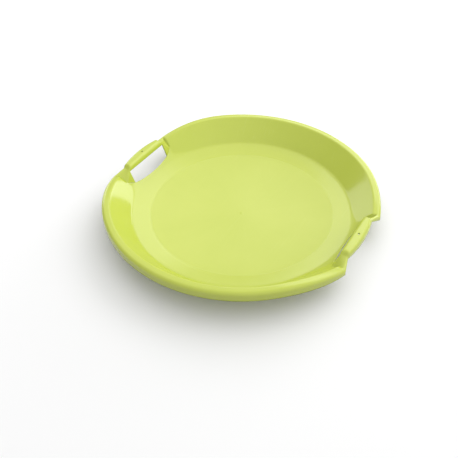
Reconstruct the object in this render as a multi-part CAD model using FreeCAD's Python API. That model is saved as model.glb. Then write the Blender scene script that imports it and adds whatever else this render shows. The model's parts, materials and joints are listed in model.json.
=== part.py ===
"""Saucer sled: a round snow saucer moulded in one skin of plastic, with two hand grips.

Millimetres. The ground is z = 0, the grips lie along X (right grip at +X) and the front is -Y.
The moulding is written out region by region; neighbouring regions share one cut face.
"""
import math
import os

import FreeCAD
import Part

Vector = FreeCAD.Vector

# Whole moulding
outer_diameter = 600.0
rim_height = 75.0
skin = 3.0

# Floor: flat patch, then a shallow dish out to a crease
flat_radius = 36.0
floor_dish = 13.0

# Shoulder: the straight cone between the floor's crease and the foot of the wall
shoulder_run = 36.0
shoulder_slope = math.radians(11.0)

# Wall: from its foot out to where the rim's roll is centred; a bend, wider at a grip, then straight
wall_run = 49.0
foot_bend_radius = 12.0
foot_bend_end_radius = 50.0

# Rim: rolled inner edge, level land, rounded outer edge and a lip turned down
roll_under_radius = 3.0
rim_land = 6.0
edge_under_radius = 5.0
lip_drop = 13.0

# The rim falls away towards each grip and its lip gets shorter; angles are from the grip's axis
rim_dip = 19.0
dip_start = math.radians(48.0)
lip_end_drop = 4.5
rim_stations = 17

# Grip: straight inner edge, bowed outer edge, arched top, hollow underneath
grip_setback = 15.5
grip_half_length = 62.0
grip_end_land = 2.0
grip_bow = 7.0
grip_under_radius = 5.0
grip_drop = 3.0
grip_sag = 1.0
grip_stations = 7

# Grip's ends: length and fall of the bend, its corner radius, skirts below it
grip_end_bend = 8.0
grip_end_fall = 8.0
grip_end_under_radius = 1.0
grip_inner_skirt = 0.5
grip_outer_skirt = 2.0

# Cheek: run from the grip's end to the rim's end, foot on the wall, parts of its face
cheek_run = 29.0
cheek_foot_setback = 34.0
cheek_skirt_share = 0.1
cheek_corner_share = 0.35

# Hand slot: gap in plan at its corners, bow of its lower edge, inset of its ends
slot_gap = 11.5
slot_bow = 4.0
slot_end_inset = 0.5

# Cord hole through the middle of each grip
cord_hole_diameter = 5.0

# Overshoot of the cutting shapes past the skin
overshoot = 20.0

# Sizes that follow from those above
outer_radius = outer_diameter / 2
roll_radius = roll_under_radius + skin
edge_radius = edge_under_radius + skin
edge_reach = outer_radius - edge_radius
rim_top_start = edge_reach - rim_land
rim_end = math.asin((grip_half_length + cheek_run) / outer_radius)
foot_radius = rim_top_start - wall_run
floor_radius = foot_radius - shoulder_run
floor_edge_height = skin + floor_dish
foot_height = floor_edge_height + shoulder_run * math.tan(shoulder_slope)
cheek_foot_radius = outer_radius - cheek_foot_setback
grip_shoulder_radius = grip_under_radius + skin
grip_width = 2 * grip_shoulder_radius + grip_end_land + grip_bow
grip_inner_reach = outer_radius - grip_setback - grip_width
grip_top_height = rim_height - grip_drop
grip_straight_end = grip_half_length - grip_end_bend
grip_end_radius = grip_end_under_radius + skin
grip_end_height = grip_top_height - grip_sag - grip_end_fall
grip_inner_bottom = grip_end_height - grip_end_radius - grip_inner_skirt
grip_outer_bottom = grip_end_height - grip_end_radius - grip_outer_skirt
slot_corner_reach = grip_inner_reach - slot_gap
slot_corner_offset = grip_half_length - slot_end_inset
slot_mid_reach = slot_corner_reach - slot_bow


def fade(angle):
    """0 on the level part of the rim, growing to 1 at its ends."""
    from_grip = min(angle, math.pi - angle)
    return max(0.0, (dip_start - from_grip) / (dip_start - rim_end)) ** 2


def rim_top(angle):
    """Height of the rim's top at an angle from the grip's axis."""
    return rim_height - rim_dip * fade(angle)


def foot_bend(angle):
    """Bend at the wall's foot in the plane at an angle: radius, centre and the slope that it ends at."""
    radius = foot_bend_radius + (foot_bend_end_radius - foot_bend_radius) * fade(angle) ** 3
    centre_reach = foot_radius - radius * math.sin(shoulder_slope)
    centre_height = foot_height + radius * math.cos(shoulder_slope)
    run = rim_top_start - centre_reach
    rise = rim_top(angle) - roll_radius - centre_height
    slope = math.atan2(rise, run) + math.asin((radius + roll_radius) / math.hypot(run, rise))
    return radius, centre_reach, centre_height, slope


def bend_end_reach(angle):
    """Where the bend at the wall's foot turns into the straight face."""
    radius, centre_reach, centre_height, slope = foot_bend(angle)
    return centre_reach + radius * math.sin(slope)


def wall_top_reach(angle):
    """Where the wall's straight face turns into the rim's roll."""
    return rim_top_start - roll_radius * math.sin(foot_bend(angle)[-1])


def on_wall(reach, depth, angle):
    """Reach and height of the wall at a depth below its inner face, square to a place on it."""
    radius, centre_reach, centre_height, slope = foot_bend(angle)
    straight_run = reach - bend_end_reach(angle)
    if straight_run < 0:
        slope = math.asin((reach - centre_reach) / radius)
        straight_run = 0
    height = centre_height - radius * math.cos(slope) + straight_run * math.tan(slope)
    return reach + depth * math.sin(slope), height - depth * math.cos(slope)


def turned(reach, height, angle):
    """Point in the upright plane that stands at an angle round the sled's axis."""
    return Vector(reach * math.cos(angle), reach * math.sin(angle), height)


def line(start, end):
    return Part.makeLine(start, end)


def bend(start, middle, end):
    return Part.Arc(start, middle, end).toShape()


def round_edge(centre_reach, centre_height, radius, start, end, place):
    """Arc about a centre in the section; start and end are slopes of the outward direction."""
    points = []
    for direction in (start, (start + end) / 2, end):
        reach = centre_reach + radius * math.cos(direction)
        height = centre_height + radius * math.sin(direction)
        points.append(place(reach, height))
    return bend(*points)


def wall_edges(low, high, depth, angle, place):
    """Edges up the wall between two reaches: its bend, then its straight face."""
    bend_end = bend_end_reach(angle)
    edges = []
    if low < bend_end:
        stops = (low, (low + bend_end) / 2, bend_end)
        edges.append(bend(*[place(*on_wall(reach, depth, angle)) for reach in stops]))
    start = place(*on_wall(max(low, bend_end), depth, angle))
    edges.append(line(start, place(*on_wall(high, depth, angle))))
    return edges


def tangent_arc(start_reach, height, end_reach, end_height):
    """Arc that leaves a level line at its start and rises to its end, in the plane y = 0."""
    run = end_reach - start_reach
    rise = end_height - height
    radius = (run ** 2 + rise ** 2) / (2 * rise)
    half_turn = math.asin(run / radius) / 2
    middle_reach = start_reach + radius * math.sin(half_turn)
    middle_height = height + radius * (1 - math.cos(half_turn))
    middle = Vector(middle_reach, 0, middle_height)
    return bend(Vector(start_reach, 0, height), middle, Vector(end_reach, 0, end_height))


def crease():
    """Top and bottom of the cut face between floor and shoulder; the bottom is on the mitre."""
    floor_slope = 2 * math.atan(floor_dish / (floor_radius - flat_radius))
    mitre_slope = (floor_slope + shoulder_slope) / 2
    mitre_depth = skin / math.cos((shoulder_slope - floor_slope) / 2)
    top = Vector(floor_radius, 0, floor_edge_height)
    bottom = top + Vector(math.sin(mitre_slope), 0, -math.cos(mitre_slope)) * mitre_depth
    return top, bottom


def spun(edges, start, sweep):
    """Solid swept round the sled's axis by a closed section in the plane y = 0."""
    face = Part.Face(Part.Wire(edges))
    axis = Vector(0, 0, 1)
    face.rotate(Vector(0, 0, 0), axis, math.degrees(start))
    return face.revolve(Vector(0, 0, 0), axis, math.degrees(sweep))


def floor_pan():
    top, bottom = crease()
    middle_bottom = Vector(0, 0, 0)
    middle_top = Vector(0, 0, skin)
    edges = [line(middle_bottom, Vector(flat_radius, 0, 0))]
    edges.append(tangent_arc(flat_radius, 0, bottom.x, bottom.z))
    edges.append(line(bottom, top))
    edges.append(tangent_arc(flat_radius, skin, top.x, top.z))
    edges.append(line(Vector(flat_radius, 0, skin), middle_top))
    edges.append(line(middle_top, middle_bottom))
    return spun(Part.__sortEdges__(edges), 0, 2 * math.pi)


def shoulder_ring():
    top, bottom = crease()
    foot_top = turned(*on_wall(foot_radius, 0, rim_end), 0)
    foot_bottom = turned(*on_wall(foot_radius, skin, rim_end), 0)
    corners = [bottom, foot_bottom, foot_top, top]
    edges = []
    for index, corner in enumerate(corners):
        edges.append(line(corners[index - 1], corner))
    return spun(edges, 0, 2 * math.pi)


def wall_section(angle):
    def place(reach, height):
        return turned(reach, height, angle)

    high = wall_top_reach(angle)
    inner = wall_edges(foot_radius, high, 0, angle, place)
    return closed_skin(inner, wall_edges(foot_radius, high, skin, angle, place))


def rim_skin(angle, place, depth):
    """The rim's face from the wall to the lip's bottom edge, at a depth below its outside."""
    top = rim_top(angle)
    drop = lip_drop + (lip_end_drop - lip_drop) * fade(angle) ** 2
    slope = foot_bend(angle)[-1]
    upright = math.pi / 2
    roll = round_edge(rim_top_start, top - roll_radius, roll_radius - depth, upright + slope, upright, place)
    level = line(place(rim_top_start, top - depth), place(edge_reach, top - depth))
    edge = round_edge(edge_reach, top - edge_radius, edge_radius - depth, upright, 0, place)
    lip_top = place(outer_radius - depth, top - edge_radius)
    lip_bottom = place(outer_radius - depth, top - edge_radius - drop)
    return [roll, level, edge, line(lip_top, lip_bottom)]


def closed_skin(outside, inside):
    """Wire round a skin: along its outside, across its end, back along its inside."""
    far = line(outside[-1].lastVertex(True).Point, inside[-1].lastVertex(True).Point)
    near = line(inside[0].firstVertex(True).Point, outside[0].firstVertex(True).Point)
    return Part.Wire(outside + [far] + inside[::-1] + [near])


def rim_section(angle):
    def place(reach, height):
        return turned(reach, height, angle)

    return closed_skin(rim_skin(angle, place, 0), rim_skin(angle, place, skin))


def round_rear(section):
    """Loft from the right grip's end plane round the rear to the left grip's end plane."""
    wires = []
    for index in range(rim_stations):
        sweep_share = index / (rim_stations - 1)
        wires.append(section(rim_end + (math.pi - 2 * rim_end) * sweep_share))
    return Part.makeLoft(wires, True, False)


def slot_cutter():
    """Upright prism that clears the hand slot and the mouth of the bay; its inner side is bowed."""
    foot = turned(cheek_foot_radius, 0, rim_end)
    corner = Vector(slot_corner_reach, slot_corner_offset, 0)
    far = foot + Vector(math.cos(rim_end), math.sin(rim_end), 0) * outer_radius
    front = [Vector(point.x, -point.y, 0) for point in (far, foot, corner)]
    edges = [bend(front[2], Vector(slot_mid_reach, 0, 0), corner)]
    path = [corner, foot, far] + front
    for index in range(len(path) - 1):
        edges.append(line(path[index], path[index + 1]))
    return Part.Face(Part.Wire(edges)).extrude(Vector(0, 0, outer_radius))


def right_bay():
    """Lower wall behind the right grip, up to the hand slot."""
    def place(reach, height):
        return turned(reach, height, 0)

    inner = wall_edges(foot_radius, cheek_foot_radius, 0, rim_end, place)
    outer = wall_edges(foot_radius, cheek_foot_radius, skin, rim_end, place)
    band = spun(closed_skin(inner, outer).Edges, -rim_end, 2 * rim_end)
    return band.cut(slot_cutter()).Solids[0]


def grip_skin(offset, top, radius, depth):
    """The grip's face from its inner bottom edge over the top to its outer bottom edge."""
    def place(reach, height):
        return Vector(reach, offset, height)

    upright = math.pi / 2
    inner = grip_inner_reach
    outer = inner + grip_width - grip_bow * (offset / grip_half_length) ** 2
    bend_height = top - radius
    rise = line(place(inner + depth, grip_inner_bottom), place(inner + depth, bend_height))
    first = round_edge(inner + radius, bend_height, radius - depth, math.pi, upright, place)
    level = line(place(inner + radius, top - depth), place(outer - radius, top - depth))
    second = round_edge(outer - radius, bend_height, radius - depth, upright, 0, place)
    fall = line(place(outer - depth, bend_height), place(outer - depth, grip_outer_bottom))
    return [rise, first, level, second, fall]


def grip_section(offset):
    top = grip_top_height - grip_sag * (offset / grip_straight_end) ** 2
    outside = grip_skin(offset, top, grip_shoulder_radius, 0)
    return closed_skin(outside, grip_skin(offset, top, grip_shoulder_radius, skin))


def grip_end_section():
    """Section at the foot of the bend that ends the grip."""
    outside = grip_skin(grip_half_length, grip_end_height, grip_end_radius, 0)
    return closed_skin(outside, grip_skin(grip_half_length, grip_end_height, grip_end_radius, skin))


def right_grip():
    wires = []
    for index in range(grip_stations):
        length_share = 2 * index / (grip_stations - 1) - 1
        wires.append(grip_section(grip_straight_end * length_share))
    bar = Part.makeLoft(wires, True, False)
    middle_reach = grip_inner_reach + grip_width / 2
    hole_base = Vector(middle_reach, 0, grip_top_height - overshoot)
    hole = Part.makeCylinder(cord_hole_diameter / 2, 2 * overshoot, hole_base)
    return bar.cut(hole).Solids[0]


def at_rim_end(reach, height):
    return turned(reach, height, rim_end)


def cheek_line(depth):
    """Where the cheek's face starts, in the plane of the rim's end: wall to the rim's outer edge."""
    foot = at_rim_end(*on_wall(cheek_foot_radius, depth, rim_end))
    crest = at_rim_end(edge_reach, rim_top(rim_end) - depth)
    first = foot + (crest - foot) * cheek_skirt_share
    second = foot + (crest - foot) * cheek_corner_share
    return [line(foot, first), line(first, second), line(second, crest)]


def cheek_root():
    """Section of the cheek at the rim's end: its straight face, then the rim's edge and lip."""
    outside = cheek_line(0) + rim_skin(rim_end, at_rim_end, 0)[2:]
    inside = cheek_line(skin) + rim_skin(rim_end, at_rim_end, skin)[2:]
    return closed_skin(outside, inside)


def rim_end_plate():
    """Plate that closes the rim's end above the cheek's face."""
    crown = wall_edges(cheek_foot_radius, wall_top_reach(rim_end), 0, rim_end, at_rim_end)
    crown += rim_skin(rim_end, at_rim_end, 0)[:2]
    under = cheek_line(skin)
    far = line(crown[-1].lastVertex(True).Point, under[-1].lastVertex(True).Point)
    near = line(under[0].firstVertex(True).Point, crown[0].firstVertex(True).Point)
    towards_grip = Vector(math.sin(rim_end), -math.cos(rim_end), 0)
    face = Part.Face(Part.Wire(crown + [far] + under[::-1] + [near]))
    return face.extrude(towards_grip * skin)


def slot_end_plate():
    """Leaning plate that closes the slot's end between its lower corner and the grip's end."""
    corner_reach = math.hypot(slot_corner_reach, slot_corner_offset)
    corner_height = on_wall(corner_reach, 0, rim_end)[1]
    corner = Vector(slot_corner_reach, slot_corner_offset, corner_height)
    foot = turned(*on_wall(cheek_foot_radius, 0, rim_end), rim_end)
    peak = Vector(grip_inner_reach, grip_half_length, grip_inner_bottom)
    outward = (foot - corner).cross(peak - corner)
    outward.normalize()
    if outward.x < 0:
        outward = outward * -1
    up = (peak - corner).normalize()
    low_corner = corner - up * skin
    low_foot = foot - up * skin
    high_foot = foot + up * (skin / 2)
    high_peak = peak + up * (skin / 2)
    path = [low_corner, low_foot, high_foot, high_peak, low_corner]
    return Part.Face(Part.makePolygon(path)).extrude(outward * skin)


def right_rear_cheek(neighbours):
    """Steep face from the rear rim's right end up to the grip, with its two end plates."""
    face = Part.makeLoft([cheek_root(), grip_end_section()], True, True)
    end_bend = Part.makeLoft([grip_end_section(), grip_section(grip_straight_end)], True, True)
    cheek = rim_end_plate().fuse(face).fuse(end_bend).fuse(slot_end_plate())
    for neighbour in neighbours:
        cheek = cheek.cut(neighbour)
    return cheek.removeSplitter().Solids[0]


def mirrored(shape, across):
    return shape.mirror(Vector(0, 0, 0), across)


def build():
    sideways = Vector(1, 0, 0)
    lengthways = Vector(0, 1, 0)
    wall = round_rear(wall_section)
    rim = round_rear(rim_section)
    bay = right_bay()
    grip = right_grip()
    cheek = right_rear_cheek([wall, rim, bay, grip])
    front_cheek = mirrored(cheek, lengthways)
    return {
        "floor_pan": floor_pan(),
        "shoulder_ring": shoulder_ring(),
        "rear_wall": wall,
        "front_wall": mirrored(wall, lengthways),
        "rear_rim": rim,
        "front_rim": mirrored(rim, lengthways),
        "right_bay": bay,
        "left_bay": mirrored(bay, sideways),
        "right_grip": grip,
        "left_grip": mirrored(grip, sideways),
        "right_rear_cheek": cheek,
        "right_front_cheek": front_cheek,
        "left_rear_cheek": mirrored(cheek, sideways),
        "left_front_cheek": mirrored(front_cheek, sideways),
    }


def main():
    os.makedirs("parts", exist_ok=True)
    for name, shape in build().items():
        print(name, shape.ShapeType, shape.isValid(), round(shape.Volume))
        shape.exportStep("parts/" + name + ".step")


main()
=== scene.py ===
import json
import math

import bmesh
import bpy
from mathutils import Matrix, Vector

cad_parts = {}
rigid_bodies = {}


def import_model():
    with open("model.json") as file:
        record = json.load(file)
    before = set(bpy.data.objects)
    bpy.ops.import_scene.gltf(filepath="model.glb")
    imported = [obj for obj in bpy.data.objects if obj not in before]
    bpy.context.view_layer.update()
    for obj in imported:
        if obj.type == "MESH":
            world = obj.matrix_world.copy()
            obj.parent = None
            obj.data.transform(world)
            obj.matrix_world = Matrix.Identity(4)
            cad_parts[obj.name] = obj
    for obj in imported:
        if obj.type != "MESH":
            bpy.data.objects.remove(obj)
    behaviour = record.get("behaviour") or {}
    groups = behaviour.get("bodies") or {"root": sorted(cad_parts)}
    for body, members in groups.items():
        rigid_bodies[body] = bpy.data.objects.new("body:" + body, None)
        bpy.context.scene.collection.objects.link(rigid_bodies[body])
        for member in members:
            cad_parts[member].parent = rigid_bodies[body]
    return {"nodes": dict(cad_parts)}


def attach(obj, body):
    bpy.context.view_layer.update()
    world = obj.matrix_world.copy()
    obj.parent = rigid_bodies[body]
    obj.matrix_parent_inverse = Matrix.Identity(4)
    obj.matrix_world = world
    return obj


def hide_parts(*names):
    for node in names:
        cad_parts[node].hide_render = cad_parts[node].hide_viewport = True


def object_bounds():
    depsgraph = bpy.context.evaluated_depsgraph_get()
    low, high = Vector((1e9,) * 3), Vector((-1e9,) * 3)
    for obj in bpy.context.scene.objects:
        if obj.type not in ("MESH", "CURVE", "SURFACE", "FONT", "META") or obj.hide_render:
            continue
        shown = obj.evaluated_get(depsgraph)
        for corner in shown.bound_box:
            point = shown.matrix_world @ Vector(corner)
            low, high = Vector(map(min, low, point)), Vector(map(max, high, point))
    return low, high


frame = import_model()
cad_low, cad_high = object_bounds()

bl_info = {
    "name": "Saucer sled",
    "version": (1, 0, 0),
    "blender": (4, 5, 0),
    "location": "View3D > Sidebar > Sled",
    "description": "Builds the looks of a moulded snow saucer over its packed solid model",
    "category": "Object",
}

SIDES = {1: "right", -1: "left"}
ENDS = {1: "rear", -1: "front"}
QUARTERS = len(SIDES) * len(ENDS)
REGIONS = list(frame["nodes"])
RIGHT_ANGLE = math.pi / 2

# Steps of the mesh; the spokes are those of one quarter
SPOKES = 90
CORNER_SPOKE = 13
FOOT_SPOKE = 18
WALL_SHARES = (
    0.0, 0.04, 0.08, 0.12, 0.16, 0.2, 0.25, 0.3, 0.36, 0.43, 0.52, 0.62, 0.72, 0.82, 0.92, 0.97, 1.0
)
FOLD_SHARES = (0.0, 0.06, 0.35, 0.65, 0.94, 1.0)
PLATE_SHARES = (0.0, 0.06, 0.35, 0.65, 0.94, 1.0)
UPPER_WALL_STEPS = 6
ROLL_STEPS = 6
LAND_STEPS = 3
EDGE_STEPS = 8
LIP_STEPS = 4
SKIRT_STEPS = 3
CORNER_STEPS = 8
CROWN_STEPS = 4
BEND_STEPS = 6
GRIP_STEPS = 9
HOLE_STEPS = 3
HOLE_ROW_SHARE = 2.0
FLOOR_RINGS = 48
FLAT_RING_SHARE = 0.25
DISH_RING_SHARE = 0.83
GRID_HALF = 0.5

# Fall of the rim towards a grip
FADE_POWER = 2
BEND_FADE_POWER = 3
LIP_FADE_POWER = 2

# Welding and edges
WELD_DISTANCE = 0.00002
SLIVER_DISTANCE = 0.00008
DISSOLVE_DISTANCE = 0.000002
CUT_REACH_SHARE = 2.0
INWARD = -1.0
EDGE_ANGLE = math.radians(50.0)
EDGE_SEGMENTS = 2

# Looks of the plastic
GRAINS = {"Satin lime": 1100.0, "Gloss lime": 700.0, "Handled lime": 900.0}
GRAIN_STRENGTH = {"Satin lime": 0.35, "Gloss lime": 0.12, "Handled lime": 0.25}
GRAIN_DEPTH = 0.0002
GRAIN_SHARE = 0.12
GRAIN_DETAIL = 2.0
WAVE_DETAIL = 1.0
CLOUD_WINDOW = (0.3, 0.7)
CLOUD_DETAIL = 4.0
FLATTEN = (1.0, 1.0, 0.0)
STREAK_SHARE = 0.2
STREAK_DRIFT = 5.0
STREAK_DETAIL = 3.0
RUB_STRETCH = (420.0, 6.0, 60.0)
RUB_WINDOW = (0.6, 0.72)
RUB_DETAIL = 3.0
PATCH_WINDOW = (0.4, 0.62)
PATCH_DETAIL = 2.0
PLAIN_SCALE = 1.0
UNDER_WINDOW = (0.1, 0.6)
RUB_DULLING = 0.3
FLOW_DULLING = 0.03

# Colour sockets of a Mix node
MIX_FIRST = 6
MIX_SECOND = 7
MIX_RESULT = 2

# Stage
WHITE = (1.0, 1.0, 1.0, 1.0)
FACING_AWAY = -1.0
PAPER_ROUGHNESS = 0.9
PAPER_REACH_SHARE = 4.0
SENSOR_WIDTH = 36.0


def length(name, description, default):
    return bpy.props.FloatProperty(
        name=name, description=description, default=default, unit="LENGTH", precision=4
    )


def turn(name, description, degrees):
    return bpy.props.FloatProperty(
        name=name, description=description, default=math.radians(degrees), subtype="ANGLE"
    )


def share(name, description, default):
    return bpy.props.FloatProperty(
        name=name, description=description, default=default, subtype="FACTOR", min=0.0, max=1.0
    )


def number(name, description, default):
    return bpy.props.FloatProperty(name=name, description=description, default=default)


def colour(name, description, default):
    return bpy.props.FloatVectorProperty(
        name=name, description=description, default=default, subtype="COLOR", size=3, min=0.0, max=1.0
    )


class SledSizes(bpy.types.PropertyGroup):
    """Sizes of the moulding: the solid model's, and those of the gate's mark and the cut edges."""

    outer_radius: length("Outer radius", "From the axis to the outside of the lip", cad_high.y)
    rim_height: length("Rim height", "Top of the rim above the ground", cad_high.z)
    skin: length("Skin", "Thickness of the plastic", 0.003)
    flat_radius: length("Flat radius", "Flat patch in the middle of the floor", 0.036)
    gate_radius: length("Gate radius", "Level top of the moulding gate's mark", 0.0016)
    gate_foot_radius: length("Gate foot radius", "Foot of the moulding gate's mark", 0.0042)
    gate_height: length("Gate height", "Rise of the moulding gate's mark", 0.0007)
    floor_dish: length("Floor dish", "Rise of the floor out to its crease", 0.013)
    crease_radius: length("Crease radius", "Where the floor turns into the shoulder", 0.201)
    foot_radius: length("Foot radius", "Where the shoulder turns into the wall", 0.237)
    shoulder_slope: turn("Shoulder slope", "Slope of the straight band below the wall", 11.0)
    foot_bend_radius: length("Foot bend radius", "Bend between the shoulder and the wall", 0.012)
    foot_bend_end_radius: length("Foot bend end radius", "The same bend where a rim ends", 0.05)
    roll_reach: length("Roll reach", "Centre of the rim's inner roll", 0.286)
    roll_radius: length("Roll radius", "Rim's inner roll", 0.006)
    edge_radius: length("Edge radius", "Rim's rounded outer edge", 0.008)
    lip_drop: length("Lip drop", "Straight part of the lip", 0.013)
    rim_dip: length("Rim dip", "Fall of the rim towards a grip", 0.019)
    dip_start: turn("Dip start", "Where the rim starts to fall, from the grip's axis", 48.0)
    lip_end_drop: length("Lip end drop", "Straight part of the lip at a rim's end", 0.0045)
    grip_inner_reach: length("Grip inner reach", "Inner edge of a grip", 0.2595)
    grip_width: length("Grip width", "Grip across its middle", 0.025)
    grip_bow: length("Grip bow", "How far a grip's outer edge bows out", 0.007)
    grip_half_length: length("Grip half length", "From the middle to the foot of the bend", 0.062)
    grip_straight_end: length("Grip straight end", "From the middle to the top of the bend", 0.054)
    grip_top_height: length("Grip top height", "Top of a grip above the ground", 0.072)
    grip_sag: length("Grip sag", "Fall of the grip's top towards its bend", 0.001)
    grip_end_fall: length("Grip end fall", "Fall over the bend", 0.008)
    grip_radius: length("Grip radius", "Rounded sides of a grip", 0.008)
    grip_end_radius: length("Grip end radius", "Rounded sides at the foot of the bend", 0.004)
    grip_inner_bottom: length("Grip inner bottom", "Lower edge of a grip over the slot", 0.0585)
    grip_outer_bottom: length("Grip outer bottom", "Lower edge of a grip outside", 0.057)
    cheek_run: length("Cheek run", "Along Y from a grip's end to a rim's end", 0.029)
    cheek_foot_radius: length("Cheek foot radius", "Foot of a cheek on the wall", 0.266)
    cheek_skirt_share: share("Cheek skirt share", "Part of the cheek that meets the grip's side", 0.1)
    cheek_corner_share: share("Cheek corner share", "Part of the cheek up to the grip's top", 0.35)
    slot_corner_reach: length("Slot corner reach", "Corner of the hand slot along X", 0.248)
    slot_corner_offset: length("Slot corner offset", "Corner of the hand slot along Y", 0.0615)
    slot_bow: length("Slot bow", "Bow of the hand slot's lower edge", 0.004)
    cord_hole_radius: length("Cord hole radius", "Hole through a grip", 0.0025)
    free_edge_radius: length("Free edge radius", "Rounding of the cut edges", 0.0008)


class SledLooks(bpy.types.PropertyGroup):
    """Colours and finishes of the plastic."""

    lime: colour("Lime", "Colour of the plastic", (0.545, 0.62, 0.08))
    deep_lime: colour("Deep lime", "Colour where pigment gathers", (0.52, 0.60, 0.07))
    rubbed_lime: colour("Rubbed lime", "Colour where the plastic is scuffed", (0.70, 0.76, 0.28))
    satin_roughness: share("Satin roughness", "Floor's finish", 0.3)
    gloss_roughness: share("Gloss roughness", "Finish of walls and rims", 0.12)
    handled_roughness: share("Handled roughness", "Grips' finish", 0.18)
    shine: share("Shine", "How strongly the plastic mirrors", 0.7)
    rub_share: share("Rub share", "Scuffing on the rider's side", 0.1)
    slide_share: share("Slide share", "Scuffing on the side that slides", 0.75)


class SledStage(bpy.types.PropertyGroup):
    """Camera and light."""

    focus_height: length("Focus height", "Height of the point that the camera looks at", 0.016)
    camera_distance: length("Camera distance", "From that point to the camera", 1.35)
    camera_azimuth: turn("Camera azimuth", "Camera to the right of the sled's front", 30.91)
    camera_elevation: turn("Camera elevation", "Camera above the horizon", 41.18)
    camera_lens: number("Lens", "Focal length in millimetres", 47.66)
    shift_right: number("Shift X", "Camera shift", -0.0277)
    shift_up: number("Shift Y", "Camera shift", -0.0445)
    sky_low: number("Sky low", "Light from the darker side", 0.18)
    sky_high: number("Sky high", "Light from the brighter side", 1.15)
    sky_turn: turn("Sky turn", "Brighter side, to the right of straight behind the sled", 122.0)
    sky_rise: turn("Sky rise", "Brighter side, above the horizon", 38.0)
    paper_white: share("Paper white", "Floor as it is seen", 0.9)
    paper_bounce: share("Paper bounce", "Floor in the light that it throws back", 0.3)
    light_distance: length("Light distance", "From the sled to the soft boxes", 2.0)
    back_turn: turn("Back box turn", "To the right of straight behind the sled", -8.0)
    back_rise: turn("Back box rise", "Above the horizon", 60.0)
    back_width: length("Back box width", "Side along the horizon", 3.0)
    back_height: length("Back box height", "Other side", 2.2)
    back_radiance: number("Back box radiance", "Brightness of its face", 0.45)
    side_turn: turn("Side box turn", "To the right of straight behind the sled", 48.0)
    side_rise: turn("Side box rise", "Above the horizon", 47.0)
    side_width: length("Side box width", "Side along the horizon", 3.4)
    side_height: length("Side box height", "Other side", 0.9)
    side_radiance: number("Side box radiance", "Brightness of its face", 1.2)
    low_turn: turn("Low box turn", "To the right of straight behind the sled", 43.0)
    low_rise: turn("Low box rise", "Above the horizon", 13.0)
    low_width: length("Low box width", "Side along the horizon", 1.6)
    low_height: length("Low box height", "Other side", 0.8)
    low_radiance: number("Low box radiance", "Brightness of its face", 2.0)
    left_turn: turn("Left box turn", "To the right of straight behind the sled", -37.0)
    left_rise: turn("Left box rise", "Above the horizon", 15.0)
    left_width: length("Left box width", "Side along the horizon", 0.8)
    left_height: length("Left box height", "Other side", 0.9)
    left_radiance: number("Left box radiance", "Brightness of its face", 1.6)


def steps(start, end, count):
    """Values from start to end in equal steps, both ends included."""
    return [start + (end - start) * index / count for index in range(count + 1)]


def joined(*runs):
    """One row of points from runs that each start where the last one ends."""
    row = list(runs[0])
    for run in runs[1:]:
        row.extend(run[1:])
    return row


def straight(start, end, count):
    return [Vector(start).lerp(Vector(end), part) for part in steps(0.0, 1.0, count)]


def rounded(centre, radius, start, end, count):
    """Points on an arc in a section; start and end are directions from its centre."""
    across, up = centre
    row = []
    for angle in steps(start, end, count):
        row.append(Vector((across + radius * math.cos(angle), up + radius * math.sin(angle))))
    return row


def turned(point, angle):
    """Point of a section in the upright plane at an angle round the axis."""
    return Vector((point[0] * math.cos(angle), point[0] * math.sin(angle), point[1]))


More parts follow.
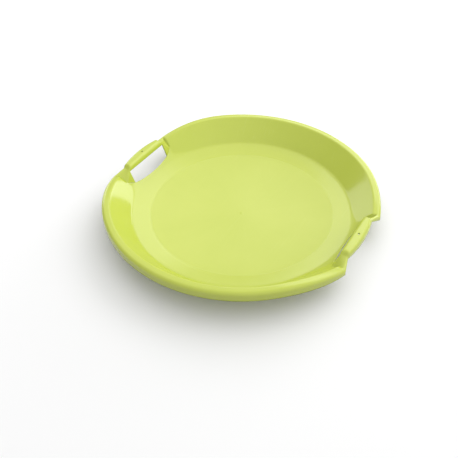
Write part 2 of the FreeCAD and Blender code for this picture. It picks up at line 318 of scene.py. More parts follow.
class Shape:
    """One quarter of the moulding's outside, worked out from the sizes."""

    def __init__(self, sizes):
        self.sizes = sizes
        rise_run = sizes.foot_radius - sizes.crease_radius
        self.foot_height = sizes.skin + sizes.floor_dish + rise_run * math.tan(sizes.shoulder_slope)
        self.rim_end = math.asin((sizes.grip_half_length + sizes.cheek_run) / sizes.outer_radius)
        self.edge_reach = sizes.outer_radius - sizes.edge_radius

    def fade(self, angle):
        """0 on the level part of the rim, growing to 1 at its end."""
        left = (self.sizes.dip_start - angle) / (self.sizes.dip_start - self.rim_end)
        return max(0.0, left) ** FADE_POWER

    def rim_top(self, angle):
        return self.sizes.rim_height - self.sizes.rim_dip * self.fade(angle)

    def foot_bend(self, angle):
        """Bend at the wall's foot: radius, centre and the slope of the straight face above it."""
        sizes = self.sizes
        widening = sizes.foot_bend_end_radius - sizes.foot_bend_radius
        radius = sizes.foot_bend_radius + widening * self.fade(angle) ** BEND_FADE_POWER
        reach = sizes.foot_radius - radius * math.sin(sizes.shoulder_slope)
        height = self.foot_height + radius * math.cos(sizes.shoulder_slope)
        run = sizes.roll_reach - reach
        rise = self.rim_top(angle) - sizes.roll_radius - height
        slope = math.atan2(rise, run) + math.asin((radius + sizes.roll_radius) / math.hypot(run, rise))
        return radius, reach, height, slope

    def on_wall(self, reach, angle):
        """Point of the wall in the plane at an angle; the bay keeps the section of the rim's end."""
        radius, centre_reach, centre_height, slope = self.foot_bend(max(angle, self.rim_end))
        straight_run = reach - centre_reach - radius * math.sin(slope)
        if straight_run < 0:
            slope = math.asin((reach - centre_reach) / radius)
            straight_run = 0.0
        return reach, centre_height - radius * math.cos(slope) + straight_run * math.tan(slope)

    def outer_edge(self, angle):
        """Rounded outer edge and lip of the rim."""
        sizes = self.sizes
        top = self.rim_top(angle)
        bend_height = top - sizes.edge_radius
        shortening = sizes.lip_drop - sizes.lip_end_drop
        drop = sizes.lip_drop - shortening * self.fade(angle) ** LIP_FADE_POWER
        edge = rounded((self.edge_reach, bend_height), sizes.edge_radius, RIGHT_ANGLE, 0.0, EDGE_STEPS)
        lip_bottom = (sizes.outer_radius, bend_height - drop)
        return joined(edge, straight((sizes.outer_radius, bend_height), lip_bottom, LIP_STEPS))

    def rim_rows(self, angle):
        """Points of the upper wall and of the rim in the plane at an angle."""
        sizes = self.sizes
        slope = self.foot_bend(angle)[-1]
        top = self.rim_top(angle)
        wall_top = sizes.roll_reach - sizes.roll_radius * math.sin(slope)
        wall = []
        for reach in steps(sizes.cheek_foot_radius, wall_top, UPPER_WALL_STEPS):
            wall.append(self.on_wall(reach, angle))
        roll_centre = (sizes.roll_reach, top - sizes.roll_radius)
        roll = rounded(roll_centre, sizes.roll_radius, RIGHT_ANGLE + slope, RIGHT_ANGLE, ROLL_STEPS)
        land = straight((sizes.roll_reach, top), (self.edge_reach, top), LAND_STEPS)
        rim = joined(roll, land, self.outer_edge(angle))
        return [turned(point, angle) for point in wall], [turned(point, angle) for point in rim]

    def cheek_root(self):
        """The cheek's line at the rim's end: straight up from the wall, then over the outer edge."""
        sizes = self.sizes
        foot = Vector(self.on_wall(sizes.cheek_foot_radius, self.rim_end))
        head = Vector((self.edge_reach, self.rim_top(self.rim_end)))
        skirt = foot.lerp(head, sizes.cheek_skirt_share)
        corner = foot.lerp(head, sizes.cheek_corner_share)
        face = joined(
            straight(foot, skirt, SKIRT_STEPS),
            straight(skirt, corner, CORNER_STEPS),
            straight(corner, head, CROWN_STEPS),
        )
        return [turned(point, self.rim_end) for point in joined(face, self.outer_edge(self.rim_end))]

    def grip_row(self, offset, top, radius):
        """Section of a grip from its inner bottom edge over the top to its outer bottom edge."""
        sizes = self.sizes
        inner = sizes.grip_inner_reach
        outer = inner + sizes.grip_width - sizes.grip_bow * (offset / sizes.grip_half_length) ** 2
        bend_height = top - radius
        row = joined(
            straight((inner, sizes.grip_inner_bottom), (inner, bend_height), SKIRT_STEPS),
            rounded((inner + radius, bend_height), radius, math.pi, RIGHT_ANGLE, CORNER_STEPS),
            straight((inner + radius, top), (outer - radius, top), CROWN_STEPS),
            rounded((outer - radius, bend_height), radius, RIGHT_ANGLE, 0.0, EDGE_STEPS),
            straight((outer, bend_height), (outer, sizes.grip_outer_bottom), LIP_STEPS),
        )
        return [Vector((point[0], offset, point[1])) for point in row]

    def grip_rows(self):
        """Rows from the grip's middle to the foot of its bend."""
        sizes = self.sizes
        hole_offset = sizes.cord_hole_radius * HOLE_ROW_SHARE
        rows = []
        for offset in [0.0] + steps(hole_offset, sizes.grip_straight_end, GRIP_STEPS):
            top = sizes.grip_top_height - sizes.grip_sag * (offset / sizes.grip_straight_end) ** 2
            rows.append(self.grip_row(offset, top, sizes.grip_radius))
        low = sizes.grip_top_height - sizes.grip_sag - sizes.grip_end_fall
        for part in steps(1.0, 0.0, BEND_STEPS)[1:]:
            offset = sizes.grip_half_length + (sizes.grip_straight_end - sizes.grip_half_length) * part
            top = low + sizes.grip_end_fall * math.sin(part * RIGHT_ANGLE)
            radius = sizes.grip_end_radius + (sizes.grip_radius - sizes.grip_end_radius) * part
            rows.append(self.grip_row(offset, top, radius))
        return rows

    def slot_edge(self):
        """Outer ends of the spokes under the grip, from its middle to the cheek's foot."""
        sizes = self.sizes
        half = sizes.slot_corner_offset
        bow_radius = (half ** 2 + sizes.slot_bow ** 2) / (2 * sizes.slot_bow)
        middle = sizes.slot_corner_reach - sizes.slot_bow
        ends = []
        for offset in steps(0.0, half, CORNER_SPOKE):
            across = middle + bow_radius - math.sqrt(bow_radius ** 2 - offset ** 2)
            ends.append((across, offset))
        foot = Vector((math.cos(self.rim_end), math.sin(self.rim_end))) * sizes.cheek_foot_radius
        corner = Vector(ends[-1])
        for part in FOLD_SHARES[-2::-1]:
            ends.append(tuple(foot.lerp(corner, part)))
        return ends

    def lower_wall(self):
        """Grid of the wall from its foot out to the slot or to the cheek's foot."""
        sizes = self.sizes
        ends = [(math.hypot(*end), math.atan2(end[1], end[0])) for end in self.slot_edge()]
        for angle in steps(self.rim_end, RIGHT_ANGLE, SPOKES - FOOT_SPOKE)[1:]:
            ends.append((sizes.cheek_foot_radius, angle))
        grid = []
        for spoke, (reach, angle) in enumerate(ends):
            start = RIGHT_ANGLE * spoke / SPOKES
            row = []
            for part in WALL_SHARES:
                at_reach = sizes.foot_radius + (reach - sizes.foot_radius) * part
                at_angle = start + (angle - start) * part
                row.append(turned(self.on_wall(at_reach, at_angle), at_angle))
            grid.append(row)
        return grid

    def hole_patch(self, rows):
        """Crown of the grip between the cord hole and the first rows."""
        first = SKIRT_STEPS + CORNER_STEPS
        last = first + CROWN_STEPS
        outside = [rows[0][first]] + rows[1][first:last + 1] + [rows[0][last]]
        centre = (rows[0][first] + rows[0][last]) / 2
        patch = []
        count = len(outside) - 1
        for index, point in enumerate(outside):
            angle = math.pi * (1 - index / count)
            arm = Vector((math.cos(angle), math.sin(angle), 0.0)) * self.sizes.cord_hole_radius
            patch.append(straight(centre + arm, point, HOLE_STEPS))
        return patch

    def patches(self):
        """Grids of one quarter, each with the kind of region that it belongs to."""
        made = []
        wall = self.lower_wall()
        made.append(("bay", wall[:FOOT_SPOKE + 1]))
        made.append(("wall", wall[FOOT_SPOKE:]))
        upper, rim = [], []
        for angle in steps(self.rim_end, RIGHT_ANGLE, SPOKES - FOOT_SPOKE):
            wall_row, rim_row = self.rim_rows(angle)
            upper.append(wall_row)
            rim.append(rim_row)
        made.append(("wall", upper))
        made.append(("rim", rim))
        root = self.cheek_root()
        made.append(("cheek", [joined(upper[0], rim[0]), root]))
        rows = self.grip_rows()
        foot = rows[-1]
        cheek = []
        for part in FOLD_SHARES:
            cheek.append([low.lerp(high, part) for low, high in zip(root, foot)])
        made.append(("cheek", cheek))
        corner = Vector(wall[CORNER_SPOKE][-1])
        plate = []
        for part in FOLD_SHARES:
            low = root[0].lerp(corner, part)
            high = root[0].lerp(foot[0], part)
            plate.append([high.lerp(low, across) for across in PLATE_SHARES])
        made.append(("cheek", plate))
        first = SKIRT_STEPS + CORNER_STEPS
        made.append(("grip", rows[1:]))
        made.append(("grip", [row[:first + 1] for row in rows[:2]]))
        made.append(("grip", [row[first + CROWN_STEPS:] for row in rows[:2]]))
        made.append(("grip", self.hole_patch(rows)))
        return made


def region_of(kind, side, end):
    """Name of the region that a kind of patch belongs to in one quarter."""
    names = {
        "bay": f"{SIDES[side]}_bay",
        "grip": f"{SIDES[side]}_grip",
        "wall": f"{ENDS[end]}_wall",
        "rim": f"{ENDS[end]}_rim",
        "cheek": f"{SIDES[side]}_{ENDS[end]}_cheek",
    }
    return REGIONS.index(names[kind])


def add_grid(work, grid, region, side, end):
    """Adds a grid of points, mirrored into its quarter, as faces of one region."""
    rows = []
    for row in grid:
        rows.append([work.verts.new((point.x * side, point.y * end, point.z)) for point in row])
    for here, after in zip(rows, rows[1:]):
        for index in range(len(here) - 1):
            corners = (here[index], after[index], after[index + 1], here[index + 1])
            face = work.faces.new(corners)
            face.material_index = region
            face.smooth = True


def math_node(tree, operation, first, second=None):
    """Math node of a node tree; a number is set on its socket and an output is linked."""
    node = tree.nodes.new("ShaderNodeMath")
    node.operation = operation
    for index, value in enumerate((first, second)):
        if value is None:
            continue
        if isinstance(value, (int, float)):
            node.inputs[index].default_value = value
        else:
            tree.links.new(value, node.inputs[index])
    return node.outputs[0]


def squared(tree, value):
    return math_node(tree, "POWER", value, 2.0)


def spread(tree, value, low, high, reach):
    """Grows from nothing to a reach while a value goes from low to high."""
    node = tree.nodes.new("ShaderNodeMapRange")
    tree.links.new(value, node.inputs["Value"])
    node.inputs["From Min"].default_value = low
    node.inputs["From Max"].default_value = high
    tree.links.new(reach, node.inputs["To Max"])
    return node.outputs["Result"]


def floor_tree():
    """Node tree that turns a plain grid into the floor and shoulder, ring by ring."""
    tree = bpy.data.node_groups.new("Floor and shoulder", "GeometryNodeTree")
    sockets = tree.interface
    sockets.new_socket("Geometry", in_out="OUTPUT", socket_type="NodeSocketGeometry")
    lengths = ("Flat radius", "Dish run", "Shoulder run", "Flat height", "Dish arc radius", "Shoulder rise",
               "Gate radius", "Gate foot radius", "Gate height")
    for name in lengths:
        sockets.new_socket(name, in_out="INPUT", socket_type="NodeSocketFloat")
    for name in ("Rings", "Spokes"):
        sockets.new_socket(name, in_out="INPUT", socket_type="NodeSocketInt")
    sockets.new_socket("Material", in_out="INPUT", socket_type="NodeSocketMaterial")
    given = tree.nodes.new("NodeGroupInput").outputs
    grid = tree.nodes.new("GeometryNodeMeshGrid")
    tree.links.new(math_node(tree, "ADD", given["Rings"], 1.0), grid.inputs["Vertices X"])
    tree.links.new(math_node(tree, "ADD", given["Spokes"], 1.0), grid.inputs["Vertices Y"])
    place = tree.nodes.new("GeometryNodeInputPosition")
    parts = tree.nodes.new("ShaderNodeSeparateXYZ")
    tree.links.new(place.outputs[0], parts.inputs[0])
    outward = math_node(tree, "ADD", parts.outputs["X"], GRID_HALF)
    around = math_node(tree, "MULTIPLY", math_node(tree, "ADD", parts.outputs["Y"], GRID_HALF), math.tau)
    flat_part = math_node(tree, "MINIMUM", math_node(tree, "DIVIDE", outward, FLAT_RING_SHARE), 1.0)
    flat = math_node(tree, "MULTIPLY", squared(tree, flat_part), given["Flat radius"])
    dish = spread(tree, outward, FLAT_RING_SHARE, DISH_RING_SHARE, given["Dish run"])
    shoulder = spread(tree, outward, DISH_RING_SHARE, 1.0, given["Shoulder run"])
    reach = math_node(tree, "ADD", math_node(tree, "ADD", flat, dish), shoulder)
    arc = given["Dish arc radius"]
    below = math_node(tree, "SUBTRACT", squared(tree, arc), squared(tree, dish))
    dish_rise = math_node(tree, "SUBTRACT", arc, math_node(tree, "SQRT", below))
    height = math_node(tree, "ADD", given["Flat height"], dish_rise)
    rise = math_node(tree, "MULTIPLY", shoulder, given["Shoulder rise"])
    gate = tree.nodes.new("ShaderNodeMapRange")
    gate.interpolation_type = "SMOOTHSTEP"
    tree.links.new(flat, gate.inputs["Value"])
    tree.links.new(given["Gate foot radius"], gate.inputs["From Min"])
    tree.links.new(given["Gate radius"], gate.inputs["From Max"])
    tree.links.new(given["Gate height"], gate.inputs["To Max"])
    rise = math_node(tree, "ADD", rise, gate.outputs["Result"])
    point = tree.nodes.new("ShaderNodeCombineXYZ")
    tree.links.new(math_node(tree, "MULTIPLY", reach, math_node(tree, "COSINE", around)), point.inputs["X"])
    tree.links.new(math_node(tree, "MULTIPLY", reach, math_node(tree, "SINE", around)), point.inputs["Y"])
    tree.links.new(math_node(tree, "ADD", height, rise), point.inputs["Z"])
    move = tree.nodes.new("GeometryNodeSetPosition")
    tree.links.new(grid.outputs["Mesh"], move.inputs["Geometry"])
    tree.links.new(point.outputs[0], move.inputs["Position"])
    weld = tree.nodes.new("GeometryNodeMergeByDistance")
    weld.inputs["Distance"].default_value = WELD_DISTANCE
    real = tree.nodes.new("GeometryNodeRealizeInstances")
    dress = tree.nodes.new("GeometryNodeSetMaterial")
    out = tree.nodes.new("NodeGroupOutput")
    tree.links.new(move.outputs[0], weld.inputs["Geometry"])
    tree.links.new(weld.outputs[0], real.inputs["Geometry"])
    tree.links.new(real.outputs[0], dress.inputs["Geometry"])
    tree.links.new(given["Material"], dress.inputs["Material"])
    tree.links.new(dress.outputs[0], out.inputs[0])
    return tree


def plain_mesh(piece, name):
    """Mesh of an object with its modifiers worked in; the modifiers are taken off."""
    graph = bpy.context.evaluated_depsgraph_get()
    mesh = bpy.data.meshes.new_from_object(piece.evaluated_get(graph))
    mesh.name = name
    piece.modifiers.clear()
    return mesh


def new_object(name, mesh):
    made = bpy.data.objects.new(name, mesh)
    bpy.context.scene.collection.objects.link(made)
    return made


def discard(made):
    mesh = made.data
    bpy.data.objects.remove(made)
    bpy.data.meshes.remove(mesh)


def node_input(tree, name):
    for item in tree.interface.items_tree:
        if item.in_out == "INPUT" and item.name == name:
            return item.identifier
    raise KeyError(name)


class SLED_OT_floor(bpy.types.Operator):
    """Make the sheet of the floor and shoulder with Geometry Nodes"""

    bl_idname = "sled.floor"
    bl_label = "Floor and shoulder"

    def execute(self, context):
        sizes = context.scene.sled_sizes
        tree = floor_tree()
        sheet = new_object("floor_sheet", bpy.data.meshes.new("floor_sheet"))
        modifier = sheet.modifiers.new("Floor", "NODES")
        modifier.node_group = tree
        dish_run = sizes.crease_radius - sizes.flat_radius
        values = {
            "Flat radius": sizes.flat_radius,
            "Dish run": dish_run,
            "Shoulder run": sizes.foot_radius - sizes.crease_radius,
            "Flat height": sizes.skin,
            "Dish arc radius": (dish_run ** 2 + sizes.floor_dish ** 2) / (2 * sizes.floor_dish),
            "Shoulder rise": math.tan(sizes.shoulder_slope),
            "Gate radius": sizes.gate_radius,
            "Gate foot radius": sizes.gate_foot_radius,
            "Gate height": sizes.gate_height,
            "Rings": FLOOR_RINGS,
            "Spokes": SPOKES * QUARTERS,
            "Material": plastic(context, "Satin lime"),
        }
        for name, value in values.items():
            modifier[node_input(tree, name)] = value
        sheet.data = plain_mesh(sheet, "floor_sheet")
        floor = REGIONS.index("floor_pan")
        shoulder = REGIONS.index("shoulder_ring")
        for face in sheet.data.polygons:
            reach = math.hypot(face.center.x, face.center.y)
            face.material_index = floor if reach < sizes.crease_radius else shoulder
        return {"FINISHED"}


class SLED_OT_upper(bpy.types.Operator):
    """Make the sheet of the walls, rims, cheeks and grips"""

    bl_idname = "sled.upper"
    bl_label = "Walls, rims, cheeks and grips"

    def execute(self, context):
        shape = Shape(context.scene.sled_sizes)
        patches = shape.patches()
        work = bmesh.new()
        for side in SIDES:
            for end in ENDS:
                for kind, grid in patches:
                    add_grid(work, grid, region_of(kind, side, end), side, end)
        mesh = bpy.data.meshes.new("upper_sheet")
        work.to_mesh(mesh)
        work.free()
        new_object("upper_sheet", mesh)
        return {"FINISHED"}


def weld_sheets(names):
    """One welded sheet from the made sheets, with its faces turned to the rider's side."""
    work = bmesh.new()
    for name in names:
        work.from_mesh(bpy.data.objects[name].data)
    bmesh.ops.remove_doubles(work, verts=work.verts[:], dist=WELD_DISTANCE)
    bmesh.ops.dissolve_degenerate(work, edges=work.edges[:], dist=DISSOLVE_DISTANCE)
    bmesh.ops.recalc_face_normals(work, faces=work.faces[:])
    middle = min(work.faces, key=lambda face: face.calc_center_median().length)
    if middle.normal.z < 0:
        bmesh.ops.reverse_faces(work, faces=work.faces[:])
    for face in work.faces:
        face.smooth = True
    return work


def cut_loops(faces):
    """Loops of open edges round a region's cuts, each in the direction that new faces need."""
    used = set()
    for face in faces:
        used.update(zip(face, face[1:] + face[:1]))
    after = {}
    for start, end in sorted(used):
        if (end, start) not in used:
            after.setdefault(end, []).append(start)
    loops = []
    for first in after:
        while after[first]:
            loop = [first]
            point = after[first].pop()
            while point != first:
                loop.append(point)
                point = after[point].pop()
            loops.append(loop)
    return loops


def joined_loops(points, loops, reach):
    """Joins loops that run side by side within a reach, such as the two sides of a ring's cut."""
    rings = []
    while loops:
        ring = loops.pop()
        start = points[ring[0]]
        for other in loops:
            gap, nearest = min(((start - points[there]).length, index) for index, there in enumerate(other))
            if gap < reach:
                loops.remove(other)
                ring = ring + ring[:1] + other[nearest:] + other[:nearest + 1]
                break
        rings.append(ring)
    return rings


def span_across(points, ring, index):
    """Length of the link between the two neighbours of a point of a ring."""
    return (points[ring[index - 1]] - points[ring[(index + 1) % len(ring)]]).length


def close_cuts(points, faces, reach):
    """Triangles across the skin along a region's cuts, taking the shortest link each time."""
    made = []
    for ring in joined_loops(points, cut_loops(faces), reach):
        spans = [span_across(points, ring, index) for index in range(len(ring))]
        while len(ring) > 3:
            index = min(range(len(ring)), key=spans.__getitem__)
            made.append([ring[index - 1], ring[index], ring[(index + 1) % len(ring)]])
            del ring[index]
            del spans[index]
            for near in (index - 1, index % len(ring)):
                spans[near] = span_across(points, ring, near)
        made.append(ring)
    return [face for face in made if len(set(face)) == 3]


def part_region(solid, normals, region, name, cut_reach):
    """Makes one region's closed piece from the faces of the whole moulding, with the whole's shading."""
    kept = {}
    faces, shading = [], []
    for polygon in solid.polygons:
        if polygon.material_index != region:
            continue
        faces.append([kept.setdefault(index, len(kept)) for index in polygon.vertices])
        shading.extend(normals[index] for index in polygon.loop_indices)
    points = [Vector(solid.vertices[index].co) for index in kept]
    for face in close_cuts(points, faces, cut_reach):
        faces.append(face)
        across = (points[face[1]] - points[face[0]]).cross(points[face[2]] - points[face[0]])
        shading.extend([across.normalized()] * len(face))
    mesh = bpy.data.meshes.new(name + "_skin")
    mesh.from_pydata(points, [], faces)
    for polygon in mesh.polygons:
        polygon.use_smooth = True
    mesh.normals_split_custom_set(shading)
    mesh.materials.append(solid.materials[region])
    piece = new_object(name + "_skin", mesh)
    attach(piece, "root")
    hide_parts(name)


class SLED_OT_skin(bpy.types.Operator):
    """Weld the sheets, give them thickness and part them into the named regions"""

    bl_idname = "sled.skin"
    bl_label = "Skin"

    def execute(self, context):
        sizes = context.scene.sled_sizes
        names = ("floor_sheet", "upper_sheet")
        work = weld_sheets(names)
        mesh = bpy.data.meshes.new("moulding")
        work.to_mesh(mesh)
        work.free()
        for name in names:
            discard(bpy.data.objects[name])
        whole = new_object("moulding", mesh)
        for name in REGIONS:
            mesh.materials.append(plastic(context, finish_of(name)))
        thick = whole.modifiers.new("Skin", "SOLIDIFY")
        thick.thickness = sizes.skin
        thick.offset = INWARD
        thick.use_quality_normals = True
        soft = whole.modifiers.new("Edges", "BEVEL")
        soft.limit_method = "ANGLE"
        soft.angle_limit = EDGE_ANGLE
        soft.width = sizes.free_edge_radius
        soft.segments = EDGE_SEGMENTS
        solid = plain_mesh(whole, "moulding_solid")
        work = bmesh.new()
        work.from_mesh(solid)
        bmesh.ops.remove_doubles(work, verts=work.verts[:], dist=SLIVER_DISTANCE)
        work.to_mesh(solid)
        work.free()
        normals = [Vector(corner.vector) for corner in solid.corner_normals]
        for index, name in enumerate(REGIONS):
            part_region(solid, normals, index, name, sizes.skin * CUT_REACH_SHARE)
        discard(whole)
        bpy.data.meshes.remove(solid)
        return {"FINISHED"}


def effect(name, values, results):
    """New shader node group with named inputs, each with its usual value, and named results."""
    tree = bpy.data.node_groups.new(name, "ShaderNodeTree")
    tree.interface.new_socket("Place", in_out="INPUT", socket_type="NodeSocketVector")
    for label, value in values.items():
        socket = tree.interface.new_socket(label, in_out="INPUT", socket_type="NodeSocketFloat")
        socket.default_value = value
    for label in results:
        tree.interface.new_socket(label, in_out="OUTPUT", socket_type="NodeSocketFloat")
    return tree, tree.nodes.new("NodeGroupInput").outputs, tree.nodes.new("NodeGroupOutput").inputs


def vector_node(tree, operation, first, second=None):
    """Vector Math node; a tuple is set on its socket and an output is linked."""
    node = tree.nodes.new("ShaderNodeVectorMath")
    node.operation = operation
    for index, value in enumerate((first, second)):
        if value is None:
            continue
        if isinstance(value, tuple):
            node.inputs[index].default_value = value
        else:
            tree.links.new(value, node.inputs[index])
    return node


def cloud_node(tree, place, scale, detail):
    """Noise over places; the scale is a number or an output."""
    node = tree.nodes.new("ShaderNodeTexNoise")
    node.inputs["Detail"].default_value = detail
    tree.links.new(place, node.inputs["Vector"])
    if isinstance(scale, (int, float)):
        node.inputs["Scale"].default_value = scale
    else:
        tree.links.new(scale, node.inputs["Scale"])
    return node.outputs["Fac"]


def window(tree, value, low, high):
    """0 up to a low value, 1 from a high one, smooth between."""
    node = tree.nodes.new("ShaderNodeMapRange")
    node.interpolation_type = "SMOOTHSTEP"
    tree.links.new(value, node.inputs["Value"])
    node.inputs["From Min"].default_value = low
    node.inputs["From Max"].default_value = high
    return node.outputs["Result"]


def flow_effect():
    """Pigment clouds, and streaks that the plastic leaves as it runs out from its gate."""
    usual = {"Clouds per metre": 7.0, "Streaks": 9.0}
    tree, given, results = effect("Moulding flow", usual, ("Cloud", "Streak"))
    level = vector_node(tree, "MULTIPLY", given["Place"], FLATTEN).outputs["Vector"]
    reach = vector_node(tree, "LENGTH", level).outputs["Value"]
    around = vector_node(tree, "NORMALIZE", level).outputs["Vector"]
    spoke = vector_node(tree, "SCALE", around)
    tree.links.new(given["Streaks"], spoke.inputs["Scale"])
    drift = tree.nodes.new("ShaderNodeCombineXYZ")
    tree.links.new(math_node(tree, "MULTIPLY", reach, STREAK_DRIFT), drift.inputs["Z"])
    run = vector_node(tree, "ADD", spoke.outputs["Vector"], drift.outputs["Vector"]).outputs["Vector"]
    cloud = cloud_node(tree, given["Place"], given["Clouds per metre"], CLOUD_DETAIL)
    streak = cloud_node(tree, run, PLAIN_SCALE, STREAK_DETAIL)
    tree.links.new(window(tree, cloud, *CLOUD_WINDOW), results["Cloud"])
    tree.links.new(window(tree, streak, *CLOUD_WINDOW), results["Streak"])
    return tree


def grain_effect():
    """Fine grain that the mould's face leaves in the plastic, with the faint waves of its cooling."""
    usual = {"Grains per metre": 900.0, "Waves per metre": 45.0}
    tree, given, results = effect("Mould grain", usual, ("Height",))
    grain = cloud_node(tree, given["Place"], given["Grains per metre"], GRAIN_DETAIL)
    wave = cloud_node(tree, given["Place"], given["Waves per metre"], WAVE_DETAIL)
    height = math_node(tree, "ADD", math_node(tree, "MULTIPLY", grain, GRAIN_SHARE), wave)
    tree.links.new(height, results["Height"])
    return tree


def rub_effect():
    """Thin scuffs along the way that the sled slides, gathered in patches."""
    tree, given, results = effect("Sliding rubs", {"Patches per metre": 11.0}, ("Rub",))
    along = vector_node(tree, "MULTIPLY", given["Place"], RUB_STRETCH).outputs["Vector"]
    line = window(tree, cloud_node(tree, along, PLAIN_SCALE, RUB_DETAIL), *RUB_WINDOW)
    gathered = cloud_node(tree, given["Place"], given["Patches per metre"], PATCH_DETAIL)
    patch = window(tree, gathered, *PATCH_WINDOW)
    tree.links.new(math_node(tree, "MULTIPLY", line, patch), results["Rub"])
    return tree


def placed(tree, name, maker, place):
    """Node that places a shared effect in a material; the effect is made once."""
    node = tree.nodes.new("ShaderNodeGroup")
    node.node_tree = bpy.data.node_groups.get(name) or maker()
    tree.links.new(place, node.inputs["Place"])
    return node


def blend_node(tree, factor, first, second):
    """Mix node between two colours; each is a tuple or an output."""
    node = tree.nodes.new("ShaderNodeMix")
    node.data_type = "RGBA"
    tree.links.new(factor, node.inputs["Factor"])
    for socket, value in ((node.inputs[MIX_FIRST], first), (node.inputs[MIX_SECOND], second)):
        if isinstance(value, tuple):
            socket.default_value = (*value, 1.0)
        else:
            tree.links.new(value, socket)
    return node.outputs[MIX_RESULT]


def finish_of(region):
    """Name of the finish that a region has."""
    if region == "floor_pan":
        return "Satin lime"
    return "Handled lime" if region.endswith("_grip") else "Gloss lime"


def plastic(context, name):
    """The plastic's material, made once for each finish."""
    found = bpy.data.materials.get(name)
    if found:
        return found
    looks = context.scene.sled_looks
    roughness = {
        "Satin lime": looks.satin_roughness,
        "Gloss lime": looks.gloss_roughness,
        "Handled lime": looks.handled_roughness,
    }[name]
    material = bpy.data.materials.new(name)
    material.use_nodes = True
    tree = material.node_tree
    shader = tree.nodes["Principled BSDF"]
    shader.inputs["Specular IOR Level"].default_value = looks.shine
    place = tree.nodes.new("ShaderNodeTexCoord").outputs["Object"]
    flow = placed(tree, "Moulding flow", flow_effect, place).outputs
    grain = placed(tree, "Mould grain", grain_effect, place)
    grain.inputs["Grains per metre"].default_value = GRAINS[name]
    rub = placed(tree, "Sliding rubs", rub_effect, place).outputs["Rub"]
    facing = tree.nodes.new("ShaderNodeSeparateXYZ")
    tree.links.new(tree.nodes.new("ShaderNodeNewGeometry").outputs["Normal"], facing.inputs[0])
    under = window(tree, math_node(tree, "MULTIPLY", facing.outputs["Z"], -1.0), *UNDER_WINDOW)
    more = math_node(tree, "MULTIPLY", under, looks.slide_share - looks.rub_share)
    wear = math_node(tree, "MULTIPLY", rub, math_node(tree, "ADD", more, looks.rub_share))
    depth = math_node(tree, "MULTIPLY", flow["Streak"], STREAK_SHARE)
    depth = math_node(tree, "ADD", math_node(tree, "MULTIPLY", flow["Cloud"], 1.0 - STREAK_SHARE), depth)
    tone = blend_node(tree, depth, tuple(looks.lime), tuple(looks.deep_lime))
    tree.links.new(blend_node(tree, wear, tone, tuple(looks.rubbed_lime)), shader.inputs["Base Color"])
    dull = math_node(tree, "MULTIPLY", wear, RUB_DULLING)
    dull = math_node(tree, "ADD", dull, math_node(tree, "MULTIPLY", depth, FLOW_DULLING))
    tree.links.new(math_node(tree, "ADD", dull, roughness), shader.inputs["Roughness"])
    bump = tree.nodes.new("ShaderNodeBump")
    bump.inputs["Strength"].default_value = GRAIN_STRENGTH[name]
    bump.inputs["Distance"].default_value = GRAIN_DEPTH
    tree.links.new(grain.outputs["Height"], bump.inputs["Height"])
    tree.links.new(bump.outputs["Normal"], shader.inputs["Normal"])
    return material


def direction(azimuth, elevation):
    """Direction from the sled; azimuth 0 is the sled's front and grows to its right."""
    level = math.cos(elevation)
    return Vector((level * math.sin(azimuth), -level * math.cos(azimuth), math.sin(elevation)))


def soft_box(stage, name, turn_right, rise, width, height, radiance):
    """Area light that faces the sled; its power follows from its size and brightness."""
    lamp = bpy.data.lights.new(name, "AREA")
    lamp.shape = "RECTANGLE"
    lamp.size = width
    lamp.size_y = height
    lamp.energy = radiance * math.pi * width * height
    box = new_object(name, lamp)
    out = direction(stage.camera_azimuth + math.pi - turn_right, rise)
    box.location = out * stage.light_distance
    box.rotation_euler = (-out).to_track_quat("-Z", "Y").to_euler()


def studio_sky(stage):
    """Soft light from all round, brighter on one side."""
    world = bpy.data.worlds.new("Studio")
    world.use_nodes = True
    tree = world.node_tree
    sky = tree.nodes["Background"]
    sky.inputs["Color"].default_value = WHITE
    way = tree.nodes.new("ShaderNodeTexCoord").outputs["Generated"]
    bright = direction(stage.camera_azimuth + math.pi - stage.sky_turn, stage.sky_rise)
    side = vector_node(tree, "DOT_PRODUCT", way, tuple(bright)).outputs["Value"]
    level = tree.nodes.new("ShaderNodeMapRange")
    tree.links.new(side, level.inputs["Value"])
    level.inputs["From Min"].default_value = FACING_AWAY
    level.inputs["To Min"].default_value = stage.sky_low
    level.inputs["To Max"].default_value = stage.sky_high
    tree.links.new(level.outputs["Result"], sky.inputs["Strength"])
    return world


def studio_paper(stage):
    """Pale floor: white where it is seen or mirrored, dimmer in the light that it throws back."""
    paper = bpy.data.materials.new("Studio paper")
    paper.use_nodes = True
    tree = paper.node_tree
    shader = tree.nodes["Principled BSDF"]
    shader.inputs["Roughness"].default_value = PAPER_ROUGHNESS
    path = tree.nodes.new("ShaderNodeLightPath").outputs
    seen = math_node(tree, "MAXIMUM", path["Is Camera Ray"], path["Is Glossy Ray"])
    seen = math_node(tree, "MAXIMUM", seen, path["Is Transmission Ray"])
    tone = blend_node(tree, seen, (stage.paper_bounce,) * 3, (stage.paper_white,) * 3)
    tree.links.new(tone, shader.inputs["Base Color"])
    return paper


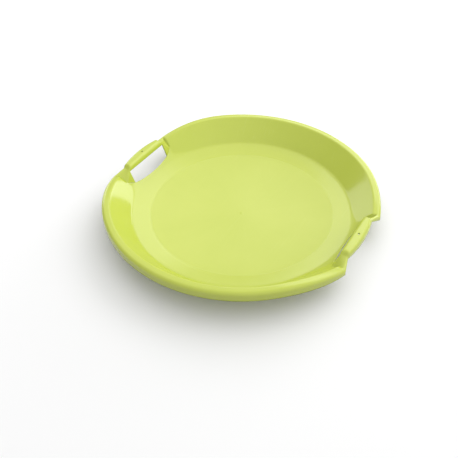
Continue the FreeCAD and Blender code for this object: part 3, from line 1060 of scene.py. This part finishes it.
class SLED_OT_stage(bpy.types.Operator):
    """Make the floor, the light and the camera"""

    bl_idname = "sled.stage"
    bl_label = "Stage"

    def execute(self, context):
        scene = context.scene
        stage = scene.sled_stage
        scene.view_settings.view_transform = "Standard"
        half = stage.light_distance * PAPER_REACH_SHARE
        mesh = bpy.data.meshes.new("studio_floor")
        corners = [(-half, -half, 0), (half, -half, 0), (half, half, 0), (-half, half, 0)]
        mesh.from_pydata(corners, [], [(0, 1, 2, 3)])
        floor = new_object("studio_floor", mesh)
        mesh.materials.append(studio_paper(stage))
        scene.world = studio_sky(stage)
        soft_box(stage, "Back box", stage.back_turn, stage.back_rise, stage.back_width, stage.back_height,
                 stage.back_radiance)
        soft_box(stage, "Side box", stage.side_turn, stage.side_rise, stage.side_width, stage.side_height,
                 stage.side_radiance)
        soft_box(stage, "Low box", stage.low_turn, stage.low_rise, stage.low_width, stage.low_height,
                 stage.low_radiance)
        soft_box(stage, "Left box", stage.left_turn, stage.left_rise, stage.left_width, stage.left_height,
                 stage.left_radiance)
        lens = bpy.data.cameras.new("Camera")
        lens.sensor_width = SENSOR_WIDTH
        lens.lens = stage.camera_lens
        lens.shift_x = stage.shift_right
        lens.shift_y = stage.shift_up
        camera = new_object("Camera", lens)
        back = direction(stage.camera_azimuth, stage.camera_elevation)
        camera.location = Vector((0.0, 0.0, stage.focus_height)) + back * stage.camera_distance
        camera.rotation_euler = (-back).to_track_quat("-Z", "Y").to_euler()
        scene.camera = camera
        return {"FINISHED"}


class SLED_PT_panel(bpy.types.Panel):
    """Sizes, looks and steps of the sled"""

    bl_label = "Saucer sled"
    bl_idname = "SLED_PT_panel"
    bl_space_type = "VIEW_3D"
    bl_region_type = "UI"
    bl_category = "Sled"

    def draw(self, context):
        for group in (context.scene.sled_sizes, context.scene.sled_looks, context.scene.sled_stage):
            box = self.layout.box()
            for name in type(group).__annotations__:
                box.prop(group, name)
        for step in STEPS:
            self.layout.operator(step.bl_idname)


GROUPS = {"sled_sizes": SledSizes, "sled_looks": SledLooks, "sled_stage": SledStage}
STEPS = (SLED_OT_floor, SLED_OT_upper, SLED_OT_skin, SLED_OT_stage)
CLASSES = (*GROUPS.values(), *STEPS, SLED_PT_panel)


def register():
    for made in CLASSES:
        bpy.utils.register_class(made)
    for name, group in GROUPS.items():
        setattr(bpy.types.Scene, name, bpy.props.PointerProperty(type=group))


def unregister():
    for name in GROUPS:
        delattr(bpy.types.Scene, name)
    for made in reversed(CLASSES):
        bpy.utils.unregister_class(made)


def main():
    register()
    bpy.ops.sled.floor()
    bpy.ops.sled.upper()
    bpy.ops.sled.skin()
    bpy.ops.sled.stage()


if __name__ == "__main__":
    main()
